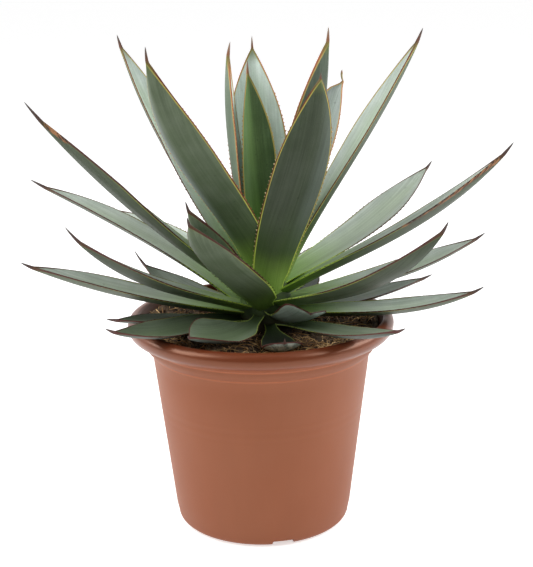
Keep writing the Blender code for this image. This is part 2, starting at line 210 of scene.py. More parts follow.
cameraLook = {
    "target": (0.0, 0.0, 0.150),
    "distance": 0.950,
    "elevation": 17.08,
    "roll": -0.9,
    "lens": 84.3,
    "shift": (0.0103, 0.0599),
}

studioLook = {
    "floorRadius": 14.0,
    "floorColour": (0.75, 0.75, 0.75),
    "floorGlow": 0.60,             # the paper is lit up to white
    "airBehind": 1.0,              # the studio's walls: bright behind the plant, dim behind the camera
    "airInFront": 0.27,
    "airTurn": (-0.7, 0.5),        # where along Y it goes from one to the other
    "airAbove": 0.60,              # share of it left straight above
    "airLift": (0.25, 0.9),        # where along Z it goes down to that
    "lamps": {                     # place, aim, size, power, colour
        "leftBox": ((-1.00, 0.0, 1.05), (0.0, 0.0, 0.15), (1.3, 1.0), 17.5, (1.0, 0.99, 0.98)),
        "rightBox": ((1.00, 0.0, 1.05), (0.0, 0.0, 0.15), (1.3, 1.0), 17.5, (0.98, 0.99, 1.0)),
    },
}


def makeCamera():
    look = cameraLook
    lift = math.radians(look["elevation"])
    target = Vector(look["target"])
    away = Vector((0.0, -math.cos(lift), math.sin(lift)))
    bpy.ops.object.camera_add(location=target + away * look["distance"])
    camera = bpy.context.object
    camera.name = "photoCamera"
    turn = (-away).to_track_quat("-Z", "Y")
    roll = Euler((0.0, 0.0, math.radians(look["roll"]))).to_quaternion()
    camera.rotation_mode = "QUATERNION"
    camera.rotation_quaternion = turn @ roll
    camera.data.lens = look["lens"]
    camera.data.shift_x, camera.data.shift_y = look["shift"]
    bpy.context.scene.camera = camera


def makeStudio():
    look = studioLook
    bpy.ops.mesh.primitive_circle_add(vertices=64, radius=look["floorRadius"], fill_type="NGON")
    floor = bpy.context.object
    floor.name = "floor"
    paper = Finish("studio paper", 0.9, 0.1)
    paper.shader.inputs["Emission Color"].default_value = (1.0, 1.0, 1.0, 1.0)
    paper.shader.inputs["Emission Strength"].default_value = look["floorGlow"]
    floor.data.materials.append(paper.finishWith(look["floorColour"]))
    world = bpy.data.worlds.new("studio air")
    bpy.context.scene.world = world
    world.use_nodes = True
    air = world.node_tree
    direction = air.nodes.new("ShaderNodeTexCoord")
    parts = air.nodes.new("ShaderNodeSeparateXYZ")
    air.links.new(direction.outputs["Generated"], parts.inputs[0])
    strength = air.nodes.new("ShaderNodeMath")
    strength.operation = "MULTIPLY"
    air.links.new(strength.outputs[0], air.nodes["Background"].inputs["Strength"])
    dimmings = {"Y": (*look["airTurn"], look["airInFront"], look["airBehind"]),
                "Z": (*look["airLift"], 1.0, look["airAbove"])}
    for slot, (axis, settings) in enumerate(dimmings.items()):
        dimming = air.nodes.new("ShaderNodeMapRange")
        dimming.interpolation_type = "SMOOTHSTEP"
        for socket, value in zip(list(dimming.inputs)[1:5], settings):
            socket.default_value = value
        air.links.new(parts.outputs[axis], dimming.inputs["Value"])
        air.links.new(dimming.outputs["Result"], strength.inputs[slot])
    air.nodes["Background"].inputs["Color"].default_value = (1.0, 1.0, 1.0, 1.0)
    for name, (place, aim, size, power, colour) in look["lamps"].items():
        bpy.ops.object.light_add(type="AREA", location=place)
        lamp = bpy.context.object
        lamp.name = name
        lamp.rotation_euler = (Vector(aim) - Vector(place)).to_track_quat("-Z", "Y").to_euler()
        lamp.data.shape = "RECTANGLE"
        lamp.data.size, lamp.data.size_y = size
        lamp.data.energy = power
        lamp.data.color = colour
    bpy.context.scene.view_settings.view_transform = "Standard"


# Pot: the moulded shell, finer than its node, with the rings under the rim and the drain channels

potLook = {
    "sides": 144,
    "wall": 2.0,
    "floor": 6.0,
    "footRadius": 57.0,
    "footRound": 5.0,
    "footWallRadius": 62.7,
    "wallTopRadius": 78.0,
    "wallFrom": 12.0,             # the straight wall starts this high
    "wallPoints": 14,
    "lowerRing": 128.5,
    "belowRing": 1.4,             # and ends this far under the lower ring
    "bead": (0.9, 0.8),           # how far the lower ring stands out, and half its height
    "beadSunk": 0.1,
    "collar": ((79.1, 129.1), (79.7, 129.8), (80.5, 130.6), (81.8, 132.0), (82.7, 133.6),
               (83.2, 135.2), (83.4, 136.6)),
    "flare": ((83.6, 137.0), (84.2, 137.3), (85.8, 138.1), (88.9, 140.2)),
    "curl": (86.2, 8.8, 7.7),     # middle radius, width and depth of the curl from the flare to the rim
    "rimRadius": 95.0,
    "rimWidest": 147.6,
    "rimCrestRadius": 89.0,
    "rimCrest": 153.0,
    "rimRoll": ((88.3, 152.9), (87.6, 152.4), (87.1, 151.8), (86.8, 151.0), (85.4, 148.4), (82.2, 142.3)),
    "rimInner": (86.8, 151.0),
    "arcs": {                     # start and end in degrees, and steps
        "foot": (-90, 0, 7),
        "bead": (-70, 10, 5),
        "curl": (-47, 0, 9),
        "crest": (12, 90, 9),
    },
    "lipFoot": (81.5, 141.0),
    "lipStep": 6.0,
    "drainTurns": (13.0, 133.0, 253.0),
    "drainWidth": 16.0,
    "drainHeight": 4.0,
    "drainInnerEnd": 30.0,
    "drainHoleRadius": 5.0,
    "drainHoleAt": 38.0,
    "drainHoleSides": 32,
    "drainOverrun": 10.0,         # the channel's cutter runs out this far past the wall
    "drainBevel": 1.2,
    "drainBevelSteps": 3,
}

potPaint = {
    "roughness": (0.50, 0.12, 0.2, 0.25),           # plain, for clouds, for scuffs, less at the rim
    "specular": 0.85,
    "glint": (1.0, 0.60, 0.42, 1.0),                # colour of the gloss
    "clay": ((0.236, 0.069, 0.029), (0.220, 0.061, 0.024)),
    # painted shade: the rim's clay is darker, for the shade over the rim's top
    "rimClayInShade": (0.130, 0.028, 0.009),
    "scuff": (0.55, 0.40, 0.34),
    # heights in metres at which a band comes in and goes out
    "rim": (0.1385, 0.1440),
    "mouldRings": (0.079, 0.084, 0.092, 0.097),
    "lowerRing": (0.1277, 0.1283, 0.1288, 0.1296),
    "upperRing": (0.1360, 0.1367, 0.1376, 0.1386),
    "collar": (0.126, 0.131, 0.1375, 0.1400),
    "scuffsFrom": (0.120, 0.135),
    # how strongly each shows
    "cloudShade": 0.16,
    "flowShade": 0.14,
    "plainShade": 0.85,
    "ringShade": 0.012,
    # painted highlight on the two rings
    "ringHighlightShade": 0.42,
    # painted shade on the collar
    "collarPaintedShade": 0.13,
    "scuffShare": 0.45,
    # noises: scale, detail and how rough, then how they are stretched and which part of them counts
    "cloudNoise": (16.0, 3.0),
    "cloudFrom": (0.35, 0.7),
    "flowNoise": (1.0, 4.0, 0.6),
    "flowStretch": (60.0, 60.0, 8.0),
    "grainNoise": (1400.0, 2.0),
    "scratchNoise": (420.0, 5.0, 0.7),
    "scratchStretch": (1.0, 1.0, 0.35),
    "scratchFrom": (0.66, 0.74),
    "patchNoise": (32.0, 2.0),
    "patchFrom": (0.60, 0.68),
    "ringWaves": 900.0,
    "bumps": (0.3, 0.5, 0.4),     # of the grain, the flow and the rings
    "bumpDepth": 0.00012,
}


def potWallRadius(height):
    low, high = potLook["footWallRadius"], potLook["wallTopRadius"]
    return low + (high - low) * height / potLook["lowerRing"]


def lipRadius(height):
    low, high = potLook["lipFoot"], potLook["rimInner"]
    return low[0] + (high[0] - low[0]) * (height - low[1]) / (high[1] - low[1])


def potProfile():
    look, arcs = potLook, potLook["arcs"]
    ring, widest = look["lowerRing"], look["rimWidest"]
    foot = arc((look["footRadius"], look["footRound"]),
               (look["footWallRadius"] - look["footRadius"], look["footRound"]), *arcs["foot"])
    heights = np.linspace(look["wallFrom"], ring - look["belowRing"], look["wallPoints"])
    body = [(potWallRadius(height), height) for height in heights]
    bead = arc((look["wallTopRadius"] - look["beadSunk"], ring), look["bead"], *arcs["bead"])
    middle, wide, deep = look["curl"]
    curl = arc((middle, widest), (wide, deep), *arcs["curl"])
    crest = arc((look["rimCrestRadius"], widest),
                (look["rimRadius"] - look["rimCrestRadius"], look["rimCrest"] - widest), *arcs["crest"])
    lip = look["lipFoot"]
    stepFoot = lip[1] - look["lipStep"]
    inside = [*look["rimRoll"], lip,
              (potWallRadius(stepFoot) - look["wall"], stepFoot),
              (potWallRadius(look["floor"]) - look["wall"], look["floor"])]
    return foot + body + bead + list(look["collar"] + look["flare"]) + curl + crest + inside


def cutAway(obj, cutter):
    change = obj.modifiers.new("cut", "BOOLEAN")
    change.operation = "DIFFERENCE"
    change.solver = "EXACT"
    change.object = cutter
    bpy.context.view_layer.objects.active = obj
    bpy.ops.object.modifier_apply(modifier=change.name)
    bpy.data.objects.remove(cutter, do_unlink=True)


def potFinish():
    look = potPaint
    plain, cloudy, scuffed, glossy = look["roughness"]
    plastic = Finish("terracotta plastic", plain, look["specular"])
    plastic.shader.inputs["Specular Tint"].default_value = look["glint"]
    place = plastic.place()
    height = plastic.node("ShaderNodeSeparateXYZ", None, {0: place}, 2)
    cloud = plastic.speckle(place, *look["cloudNoise"])
    flow = plastic.speckle(plastic.place(look["flowStretch"]), *look["flowNoise"])
    grain = plastic.speckle(place, *look["grainNoise"])
    shade = cloud * look["cloudShade"] + flow * look["flowShade"] + look["plainShade"]
    clay = plastic.mix(cloud.ramp(*look["cloudFrom"]), *look["clay"])
    rim = height.ramp(*look["rim"])
    # painted shade: the rim is painted in the darker clay
    clay = plastic.mix(rim, clay, look["rimClayInShade"])
    rings = (height * look["ringWaves"]).maths("SINE") * height.band(*look["mouldRings"])
    # painted highlight: the two rings are painted lighter, for the light they catch
    ringHighlights = height.band(*look["lowerRing"]) + height.band(*look["upperRing"])
    shade = shade + rings * look["ringShade"] + ringHighlights * look["ringHighlightShade"]
    # painted shade: the collar under the rim is painted darker, for its down-facing slope
    colour = plastic.tint(clay, shade - height.band(*look["collar"]) * look["collarPaintedShade"])
    scratch = plastic.speckle(plastic.place(look["scratchStretch"]), *look["scratchNoise"])
    patch = plastic.speckle(place, *look["patchNoise"]).ramp(*look["patchFrom"])
    scuffs = scratch.ramp(*look["scratchFrom"]) * patch * height.ramp(*look["scuffsFrom"])
    colour = plastic.mix(scuffs * look["scuffShare"], colour, look["scuff"])
    roughness = cloud * cloudy + scuffs * scuffed + plain - rim * glossy
    grainBumps, flowBumps, ringBumps = look["bumps"]
    bumps = grain * grainBumps + flow * flowBumps + rings * ringBumps
    return plastic.finishWith(colour, roughness, bumps, look["bumpDepth"])


def makePot():
    look = potLook
    pot = turnedShape("potShell", look["sides"], potProfile())
    reach = look["footWallRadius"] + look["drainOverrun"] - look["drainInnerEnd"]
    for turn in look["drainTurns"]:
        angle = math.radians(turn)
        outward = Vector((math.sin(angle), -math.cos(angle), 0.0))
        middle = outward * (look["drainInnerEnd"] + reach / 2) * mm
        bpy.ops.mesh.primitive_cube_add(size=1.0, location=middle, rotation=(0.0, 0.0, angle))
        channel = bpy.context.object
        channel.scale = (look["drainWidth"] * mm, reach * mm, look["drainHeight"] * 2 * mm)
        edges = channel.modifiers.new("rounded", "BEVEL")
        edges.width = look["drainBevel"] * mm
        edges.segments = look["drainBevelSteps"]
        bpy.ops.object.transform_apply(location=True, rotation=True, scale=True)
        bpy.ops.object.modifier_apply(modifier=edges.name)
        cutAway(pot, channel)
        hole = outward * look["drainHoleAt"] * mm
        bpy.ops.mesh.primitive_cylinder_add(vertices=look["drainHoleSides"],
                                            radius=look["drainHoleRadius"] * mm,
                                            depth=look["floor"] * 4 * mm, location=hole)
        cutAway(pot, bpy.context.object)
    finishMesh(pot, potFinish(), 34)
    standFor(pot, "pot")


# Soil: dark peat with crumbs and golden coir fibres

soilLook = {
    "sides": 180,
    "height": 143.5,
    "levelTo": 60.0,              # level out to this radius, then it climbs to the rim
    "edgeHeight": 148.8,
    "shoulder": 1.5,
    "gap": 0.6,                   # to the pot
    "edgeWidth": 1.5,
    "edgeDrop": 0.4,
    "evenEdge": (0.3, 6.0),       # relief left at the edge, and how far in it grows to the whole
    "surface": 1.0,               # what lies less than this under the level part is surface
    "stemAt": (4.0, 0.0),
    "holeRadius": 17.0,
    "rings": 40,
    "relief": ((0.11, 3.0, 1.5), (0.55, 9.0, 0.55)),    # waves to the millimetre, layer, height
    "seat": 0.3,                  # over the pot's floor
    "holeDepth": 8.0,
    "peat": ((0.055, 0.036, 0.022), (0.210, 0.140, 0.085)),
    "peatNoise": (90.0, 4.0),
    "peatFrom": (0.35, 0.65),
    "peatRoughness": (0.7, 0.3),  # plain, and more on the grit
    "peatBumps": 0.0012,
    "grit": (0.36, 0.23, 0.12),
    "gritNoise": (700.0, 4.0, 0.65),
    "gritFrom": (0.56, 0.70),
    "coir": ((0.34, 0.17, 0.06), (0.90, 0.60, 0.28)),
    "coirNoise": (60.0, 2.0),
    "coirFrom": (0.35, 0.65),
    "coirGrain": (2500.0, 2.0),
    "coirBumps": 0.0001,
    "seed": 21,
    "crumbs": 1300,
    "crumbSize": 2.1,
    "crumbShare": (0.5, 1.0),     # drawn, squared, of that size
    "crumbRough": (0.7, 1.15),
    "crumbFlat": 0.7,
    "fibres": 900,
    "fibreBend": 1.3,
    "fibreLength": (4.0, 16.0),
    "fibreLift": (-0.3, 2.2),
    "fibreThick": (0.15, 0.38),
    "fibreSteps": 6,
    "fibreSides": 4,
    "fibreRest": 0.25,            # how far its middle line lies over the soil
    "fibreTaper": 0.7,
}


def soilEdge():
    look = soilLook
    return lipRadius(look["edgeHeight"] - look["shoulder"]) - look["gap"] - look["edgeWidth"]


def soilLevel(radius):
    look = soilLook
    climb = min(1.0, max(0.0, radius - look["levelTo"]) / (soilEdge() - look["levelTo"]))
    return look["height"] + (look["edgeHeight"] - look["height"]) * climb ** 2


def soilRise(x, y):
    # height of the soil's surface over its mean, for a place in millimetres
    return sum(noise.noise(Vector((x * waves, y * waves, layer))) * height
               for waves, layer, height in soilLook["relief"])


def soilTop(x, y):
    return soilLevel(math.hypot(x, y)) + soilRise(x, y)


def peatFinish():
    look = soilLook
    plain, gritty = look["peatRoughness"]
    peat = Finish("moist peat", plain, 0.25)
    place = peat.place()
    patch = peat.speckle(place, *look["peatNoise"])
    grit = peat.speckle(place, *look["gritNoise"])
    brown = peat.mix(patch.ramp(*look["peatFrom"]), *look["peat"])
    colour = peat.mix(grit.ramp(*look["gritFrom"]), brown, look["grit"])
    return peat.finishWith(colour, grit * gritty + plain, grit + patch, look["peatBumps"])


def fibreFinish():
    look = soilLook
    coir = Finish("coir fibre", 0.7, 0.3)
    place = coir.place()
    tone = coir.speckle(place, *look["coirNoise"]).ramp(*look["coirFrom"])
    grain = coir.speckle(place, *look["coirGrain"])
    return coir.finishWith(coir.mix(tone, *look["coir"]), None, grain, look["coirBumps"])


def makeSoilBody():
    look = soilLook
    gap, edge, hole, top = look["gap"], soilEdge(), look["holeRadius"], look["height"]
    shoulder = look["edgeHeight"] - look["shoulder"]
    foot = potLook["floor"] + look["seat"]
    lip = potLook["lipFoot"]
    stepFoot = lip[1] - potLook["lipStep"]
    profile = [(potWallRadius(height) - potLook["wall"] - gap, height) for height in (foot, stepFoot)]
    profile += [(lip[0] - gap, lip[1]), (lipRadius(shoulder) - gap, shoulder),
                (edge + look["edgeWidth"] / 2, look["edgeHeight"] - look["edgeDrop"])]
    for ring in range(look["rings"] + 1):
        radius = edge + (hole - edge) * ring / look["rings"]
        profile.append((radius, soilLevel(radius)))
    profile.append((hole - 1.0, top - look["holeDepth"]))
    soil = turnedShape("soilBody", look["sides"], profile)
    leastRelief, growsOver = look["evenEdge"]
    for vertex in soil.data.vertices:
        x, y, z = vertex.co / mm
        radius = math.hypot(x, y)
        onTop = z > top - look["surface"]
        if radius < edge + 0.1 and onTop:
            vertex.co.z += soilRise(x, y) * mm * min(1.0, leastRelief + (edge - radius) / growsOver)
        if radius < look["levelTo"] or onTop:
            # the hole moves under the stem, and the soil round it follows
            near = (edge - radius) / (edge - hole)
            vertex.co.x += look["stemAt"][0] * mm * min(1.0, max(0.0, near))
    finishMesh(soil, peatFinish(), 80)
    standFor(soil, "soil")


def soilPlaces(count, draw, spread):
    # even over the disc, clear of the stem
    edge = soilEdge() - 1.0
    found = []
    while len(found) < count:
        radius = edge * math.sqrt(draw.random())
        angle = draw.random() * math.tau
        x, y = radius * math.cos(angle), radius * math.sin(angle)
        if math.hypot(x - soilLook["stemAt"][0], y) > soilLook["holeRadius"] + spread:
            found.append((x, y, soilTop(x, y)))
    return found


def makeCrumbs():
    look = soilLook
    draw = random.Random(look["seed"])
    bpy.ops.mesh.primitive_ico_sphere_add(subdivisions=1, radius=1.0)
    lump = bpy.context.object
    corners = [vertex.co.copy() for vertex in lump.data.vertices]
    sides = [tuple(face.vertices) for face in lump.data.polygons]
    bpy.data.objects.remove(lump, do_unlink=True)
    vertices, faces = [], []
    for x, y, z in soilPlaces(look["crumbs"], draw, 1.0):
        size = draw.uniform(*look["crumbShare"]) ** 2 * look["crumbSize"]
        turn = Euler([draw.uniform(0, math.tau) for _ in range(3)])
        start = len(vertices)
        for corner in corners:
            rough = corner * size * draw.uniform(*look["crumbRough"])
            rough.z *= look["crumbFlat"]
            rough.rotate(turn)
            vertices.append(((x + rough.x) * mm, (y + rough.y) * mm, (z + rough.z) * mm))
        faces += [tuple(start + i for i in side) for side in sides]
    crumbs = finishMesh(makeObject("soilCrumbs", vertices, faces), peatFinish(), 60)
    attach(crumbs, "root")


def makeFibres():
    look = soilLook
    draw = random.Random(look["seed"] + 1)
    vertices, faces = [], []
    steps, sides = look["fibreSteps"], look["fibreSides"]
    limit = soilEdge()
    for x, y, _ in soilPlaces(look["fibres"], draw, 2.0):
        start = len(vertices)
        way = draw.uniform(0, math.tau)
        bend = draw.uniform(-look["fibreBend"], look["fibreBend"])
        length = draw.uniform(*look["fibreLength"])
        lift = draw.uniform(*look["fibreLift"])
        thick = draw.uniform(*look["fibreThick"])
        px, py = x, y
        rings = 0
        for step in range(steps + 1):
            share = step / steps
            angle = way + bend * (share - 0.5)
            if step:
                px += math.cos(angle) * length / steps
                py += math.sin(angle) * length / steps
            if math.hypot(px, py) > limit:
                break
            top = soilTop(px, py) + lift * math.sin(math.pi * share) + look["fibreRest"]
            radius = thick * (1.0 - look["fibreTaper"] * abs(2 * share - 1) ** 3)
            for side in range(sides):
                turn = math.tau * side / sides
                out = math.cos(turn) * radius
                vertices.append(((px - math.sin(angle) * out) * mm, (py + math.cos(angle) * out) * mm,
                                 (top + math.sin(turn) * radius) * mm))
            rings += 1
        if rings < 3:
            del vertices[start:]
            continue
        for ring in range(rings - 1):
            for side in range(sides):
                a = start + ring * sides + side
                b = start + ring * sides + (side + 1) % sides
                faces.append((a, b, b + sides, a + sides))
        faces.append(tuple(start + side for side in reversed(range(sides))))
        last = start + (rings - 1) * sides
        faces.append(tuple(last + side for side in range(sides)))
    fibres = finishMesh(makeObject("soilFibres", vertices, faces), fibreFinish(), 60)
    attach(fibres, "root")


# Stem: the short trunk and its dome, with the scars of old leaf bases

stemLook = {
    "sides": 64,
    "at": (4.0, 0.0),
    "foot": 105.0,
    "footRadius": 13.0,
    "trunk": (15.5, 120.0),       # radius and height where the trunk meets the dome's round
    "radius": 20.0,
    "middle": 150.0,
    "dome": 40.0,
    "domeArc": (-25, 87, 40),     # start and end in degrees, and steps
    "scar": 0.35,
    "scarTurns": (5, 3),          # the scars lie where two windings round the stem cross
    "scarClimbs": (0.55, 0.4),
    "brown": (0.05, 0.038, 0.018),
    # the leaf-base green of the dome, painted dark as the shade between the leaf bases
    "green": ((0.020, 0.040, 0.008), (0.055, 0.095, 0.020)),
    "greenFrom": (0.146, 0.160),  # heights in metres
    "cloudNoise": (120.0, 4.0),
    "cloudFrom": (0.3, 0.7),
    "bumps": 0.0006,
}


def stemFinish():
    look = stemLook
    skin = Finish("stem skin", 0.55, 0.35)
    place = skin.place()
    height = skin.node("ShaderNodeSeparateXYZ", None, {0: place}, 2)
    cloud = skin.speckle(place, *look["cloudNoise"])
    # leaf-base green, darkened as painted shade
    green = skin.mix(cloud.ramp(*look["cloudFrom"]), *look["green"])
    colour = skin.mix(height.ramp(*look["greenFrom"]), look["brown"], green)
    return skin.finishWith(colour, None, cloud, look["bumps"])


def makeStem():
    look = stemLook
    dome = arc((0.0, look["middle"]), (look["radius"], look["dome"]), *look["domeArc"])
    profile = [(look["footRadius"], look["foot"]), look["trunk"]] + dome
    stem = turnedShape("stemDome", look["sides"], profile, look["at"])
    (many, few), (steep, slow) = look["scarTurns"], look["scarClimbs"]
    for vertex in stem.data.vertices:
        x, y, z = (value / mm for value in vertex.co)
        turn = math.atan2(y, x)
        ridge = math.sin(many * turn + z * steep) * math.sin(few * turn - z * slow)
        shrink = 1.0 - look["scar"] / look["radius"] * (1.0 + ridge)
        vertex.co.x *= shrink
        vertex.co.y *= shrink
    finishMesh(stem, stemFinish(), 60)
    standFor(stem, "stem")


# Leaves. Each row: where the leaf sits on the crown (turn and angle up the dome), where its tip is
# (turn, reach from the stem, height over the table), its width, the angles at which it leaves the
# crown and ends, its roll, and how deeply it is channelled.

leafRows = {
    "heart_1": (-170, 72, -150, 21, 330, 28, 82, 90, 0, 0.55),
    "heart_2": (178, 58, -168, 34, 345, 41, 70, 88, 22, 0.30),
    "heart_3": (10, 40, 42, 56, 328, 38, 70, 86, 34, 0.25),
    "heart_4": (-109, 60, -100, 22, 344, 29, 86, 98, 0, 0.35),
    "heart_5": (60, 62, 62, 49, 355, 38, 76, 86, 10, 0.35),
    "heart_6": (161, 46, 142, 95, 316, 38, 60, 66, 0, 0.30),
    "inner_1": (-28, 62, -55, 91, 347, 40, 66, 86, -18, 0.35),
    "inner_2": (-138, 44, -115, 113, 346, 40, 46, 71, 0, 0.40),
    "inner_3": (92, 51, 100, 112, 350, 33, 66, 66, 0, 0.40),
    "inner_4": (-14, 22, -34, 90, 241, 43, 40, 70, 0, 0.30),
    "inner_5": (-40, 34, -44, 75, 247, 35, 44, 70, 0, 0.30),
    "middle_1": (-90, 34, -70, 163, 314, 28, 36, 52, 0, 0.45),
    "middle_2": (116, 42, 120, 145, 248, 38, 23, 46, 0, 0.22),
    "middle_3": (70, 36.5, 77, 169, 280, 30, 31, 52, 0, 0.36),
    "middle_4": (-112, 15, -100, 170, 247, 32, 36, 26, 0, 0.30),
    "middle_5": (-149, 10, -126, 153, 214, 32, 26, 16, 0, 0.30),
    "outer_1": (42, 23, 48, 153, 242, 36, 16, 60, 0, 0.40),
    "outer_2": (100, 18, 100, 162, 203, 34, 10, 31, 0, 0.30),
    "outer_3": (-63, 18, -60, 149, 236, 33, 20, 52, 0, 0.30),
    "outer_4": (-83, 9, -80, 170, 201, 34, 10, 26, 0, 0.35),
    "outer_5": (-120, 4, -120, 113, 187, 32, 6, 54, 0, 0.30),
    "outer_6": (79, 7, 80, 153, 178, 29, 6, 30, 0, 0.35),
    "outer_7": (108, 2, 106, 128, 170.5, 24, 6, 18, 0, 0.20),
    "low_1": (45, 0, 36, 147, 178, 26, 6, 26, 0, 0.20),
    "low_2": (26, 11.5, 35, 60, 172, 36, -11, 48, 20, 0.30),
    "low_3": (-16, 8.5, -32, 98, 163.5, 36, -11, 28, 16, 0.42),
    "low_4": (-57.5, 2.5, -52, 134, 169.5, 30, 14, 30, 8, 0.30),
    "low_5": (-88, -3, -70, 117, 163, 26, 2, 12, 0, 0.20),
    "low_6": (7, 1, 9, 75, 158, 27, -2, 80, 0, 0.20),
    "back_1": (149, 17, 150, 128, 188, 34, 18, 32, 0, 0.30),
    "back_2": (-171, 22, -176, 132, 207, 34, 16, 30, 0, 0.30),
    "back_3": (177, 35, 176, 118, 232, 34, 34, 46, 0, 0.30),
    "back_4": (174, 7, 176, 132, 182, 30, 6, 14, 0, 0.35),
    "back_5": (146, 0, 157.5, 104, 162.5, 26, 11, 14, 0, 0.35),
    "back_6": (-156, 0, -162, 122, 168, 28, 8, 10, 0, 0.35),
}
leafFields = ("rootTurn", "rootUp", "turn", "reach", "height", "width", "rise", "tipRise", "roll", "cup")

leafLook = {
    "rootThickness": 4.0,
    "tipThickness": 1.7,
    "margin": 0.7,                # thickness of the horny edge
    "marginShare": 0.6,           # but at most this share of the blade's
    "marginBulge": 0.2,
    "cupAtRoot": 0.55,
    "cupGrowth": 0.60,
    "channelRound": 0.30,         # higher is a rounder channel
    "keelRound": 0.45,
    "spineWidth": 1.3,
    "settledAt": 0.6,
    "startPull": 0.30,
    "endPull": 0.40,
    "sunk": 6.0,                  # the blade's root goes this far into the stem
    "pathPoints": 193,
    "upperPoints": 9,
    "lowerPoints": 7,
    "step": 4.0,                  # between stations along the blade
    "grain": 0.08,                # stations fall on multiples of this
    "nearTip": 8.0,               # before the spine they stand closer
    "nearTipStations": 6,
    "spineStations": (0.1, 0.22, 0.36, 0.5, 0.64, 0.78, 0.9),
    "endGap": 0.2,                # from the last station to the spine's point
    "spineTaper": 0.6,
    "aimSpan": 2.0,               # the direction is read this far before and after a station
    "thread": 0.3,                # half the width of what is left where a blade is torn
}

# What one leaf has of its own. All that can be given, and what holds for the others, stands below.
leafTraits = {
    "heart_1": {"skin": "young", "spine": 9.0},
    "heart_2": {"spine": 8.0, "paintedLight": (1.75, 1.0)},
    "heart_3": {"skin": "inner", "spine": 4.0, "taper": 0.80, "paintedLight": (1.0, 0.85),
                "paintedLitSide": (-1.0, 0.3), "tooth": (0.62, 0.50, 0.27)},
    "heart_4": {"spine": 9.0, "paintedLight": (1.9, 1.8)},
    "heart_5": {"spine": 9.0, "paintedLight": (1.0, 1.1)},
    "heart_6": {"spine": 2.0, "paintedLight": (0.78, 1.0), "torn": (15.0, 8.5)},
    "inner_1": {"spine": 9.0, "paintedLight": (1.0, 1.55),
                "paintedLitSide": (1.0, 0.75), "tooth": (0.50, 0.17, 0.06)},
    "inner_2": {"spine": 9.0},
    "inner_3": {"spine": 10.0, "paintedLight": (1.10, 1.2)},
    "inner_4": {"skin": "grown", "spine": 6.0, "paintedLight": (1.0, 1.5)},
    "inner_5": {"skin": "grown", "spine": 7.0, "paintedLight": (1.0, 1.4)},
    "middle_1": {"spine": 16.0, "dead": (14.0, 38.0, -1.0, 1.6)},
    "middle_2": {"spine": 6.0, "widestAt": 0.60, "paintedLight": (0.95, 1.0)},
    "middle_3": {"spine": 10.0, "dead": (14.0, 92.0, 1.0, 1.8)},
    "middle_4": {"spine": 12.0},
    "outer_1": {"paintedLight": (1.0, 0.8)},
    "outer_2": {"paintedLight": (0.9, 0.9)},
    "outer_3": {"spine": 14.0, "paintedLight": (0.9, 0.7)},
    "outer_4": {"paintedLight": (0.92, 1.1)},
    "outer_5": {"spine": 14.0, "paintedLight": (0.8, 0.7)},
    "outer_7": {"paintedLight": (0.6, 0.6)},
    "low_2": {"spine": 1.0, "short": 8.0, "base": 0.45, "widestAt": 0.80, "taper": 0.25,
              "paintedLight": (2.6, 3.8)},
    "low_3": {"spine": 3.0, "taper": 0.74, "rootWidth": 8.0, "base": 0.06, "neck": 0.38, "widestAt": 0.62},
    "low_6": {"spine": 3.5, "rootWidth": 8.0, "base": 0.20, "neck": 0.50, "widestAt": 0.85, "taper": 0.45,
              "paintedLight": (0.14, 3.4), "scurfy": 0.85},
    "back_5": {"paintedLight": (0.5, 0.4)},
}
commonTraits = {
    "spine": 8.0,
    "short": 0.0,                 # how much of the tip is missing
    "rootWidth": 19.0,
    "base": 0.56,                 # share of the full width next to the root
    "neck": 0.09,                 # share of the length over which it widens to that
    "widestAt": 0.56,
    "taper": 0.88,                # lower is fuller beyond the widest place
    "paintedLight": (1.0, 1.0),          # painted light and shade: how much lighter or darker the upper and the lower face are painted, for the light each leaf gets
    "paintedLitSide": None,                 # painted light: the side of the underside painted paler, as if lit from that side, and how much
    "scurfy": 0.0,                # how much of the underside is flaky
    "tooth": None,                # the teeth's colour, where the skin's doesn't hold
    "torn": None,                 # from the tip: where the tear starts, and where only a thread is left
    "dead": None,                 # from the tip: start and end of a dead strip, then its side and width
}

# Each family's skin, unless a leaf has another, and its slot
leafFamilies = {
    "heart": ("heart", "leaf_young"),
    "inner": ("inner", "leaf_grown"),
    "middle": ("grown", "leaf_grown"),
    "outer": ("grown", "leaf_grown"),
    "low": ("low", "leaf_old"),
    "back": ("grown", "leaf_grown"),
}

toothLooks = {
    "coarse": {"spacing": 4.0, "from": 0.06, "to": 0.76, "height": (1.3, 2.1), "base": 2.6},
    "fine": {"spacing": 3.0, "from": 0.06, "to": 0.80, "height": (0.9, 1.35), "base": 1.9},
}
toothPattern = {
    "lean": 0.45,
    "endSize": (0.55, 0.45),      # size of the first and last ones, and what the middle ones have more
    "gapVaries": (0.8, 1.2),
    "baseVaries": (0.85, 1.15),
}


def radial(turn):
    angle = math.radians(turn)
    return np.array([math.sin(angle), -math.cos(angle), 0.0])


def heading(turn, rise):
    angle = math.radians(rise)
    return radial(turn) * math.cos(angle) + np.array([0.0, 0.0, math.sin(angle)])


def sideways(ahead):
    across = np.cross([ahead[0], ahead[1], 0.0], [0.0, 0.0, 1.0])
    return across / np.linalg.norm(across)


def smoothly(value):
    value = np.clip(value, 0.0, 1.0)
    return value * value * (3 - 2 * value)


def unitRows(rows):
    return rows / np.linalg.norm(rows, axis=1)[:, None]


